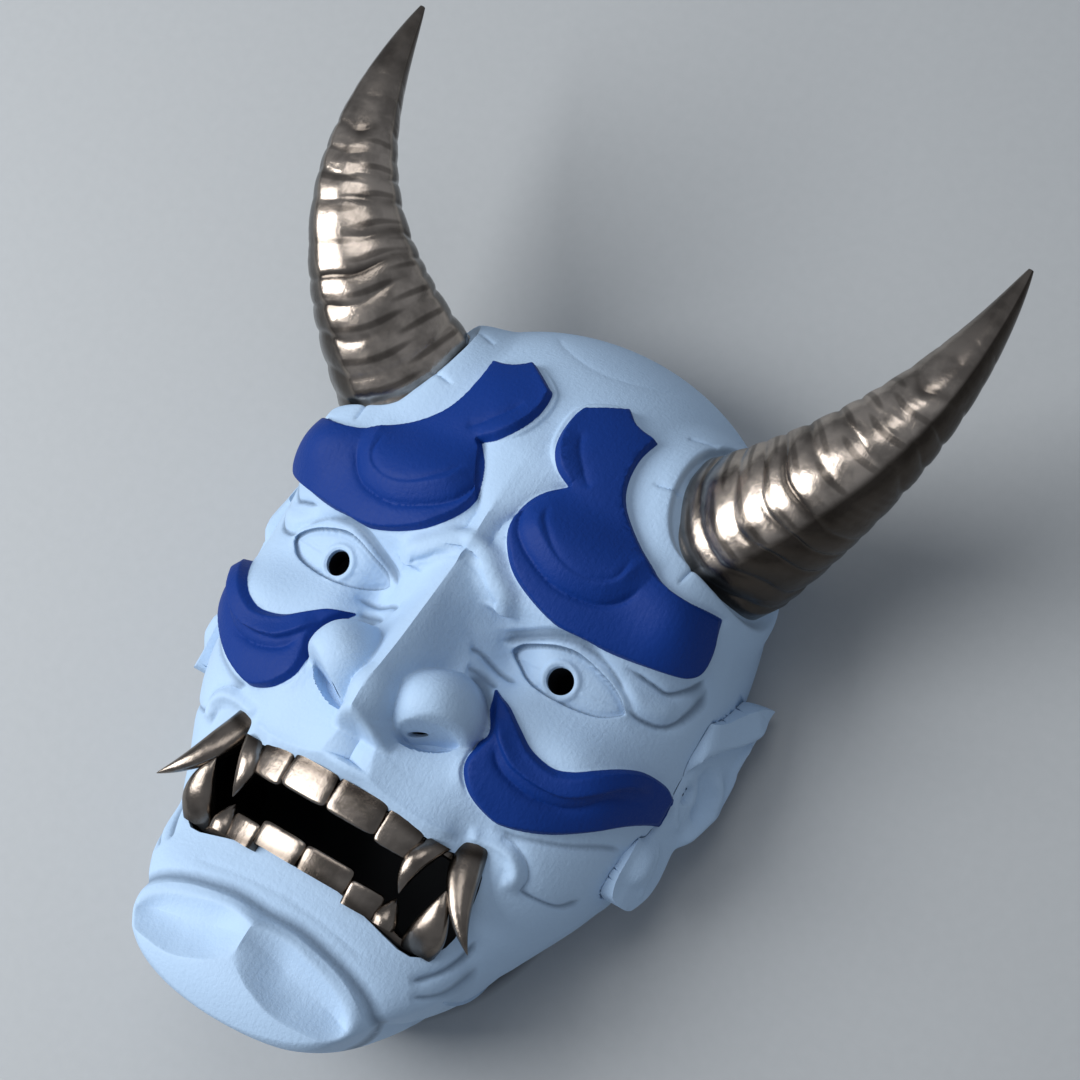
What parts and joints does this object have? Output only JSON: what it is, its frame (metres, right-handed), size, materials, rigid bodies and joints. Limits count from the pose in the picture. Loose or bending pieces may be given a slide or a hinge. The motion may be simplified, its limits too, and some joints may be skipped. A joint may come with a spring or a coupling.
{
  "type": "oni mask",
  "caption": "Hollow full-face demon mask with curved horns, raised brow and cheek flourishes, eye holes, and an open mouth with metal teeth and tusks; it lies on its flat back rim.",
  "frame": {"origin": "on the plane of the back rim, midway across the mask and midway between the chin and the horn tips", "axes": "+X to the mask's own left, +Y from the chin to the crown, +Z out of the face, which looks up as the mask lies"},
  "size_m": [0.1996, 0.2722, 0.092],
  "materials": {
    "skin_paint": "matte light blue paint, with dark blue brows and cheek flourishes",
    "bronze_lacquer": "glossy dark bronze metallic lacquer"
  },
  "bodies": {
    "root": {"face_shell": "skin_paint", "horn_left": "bronze_lacquer", "horn_right": "bronze_lacquer", "upper_teeth": "bronze_lacquer", "lower_teeth": "bronze_lacquer"}
  },
  "joints": []
}
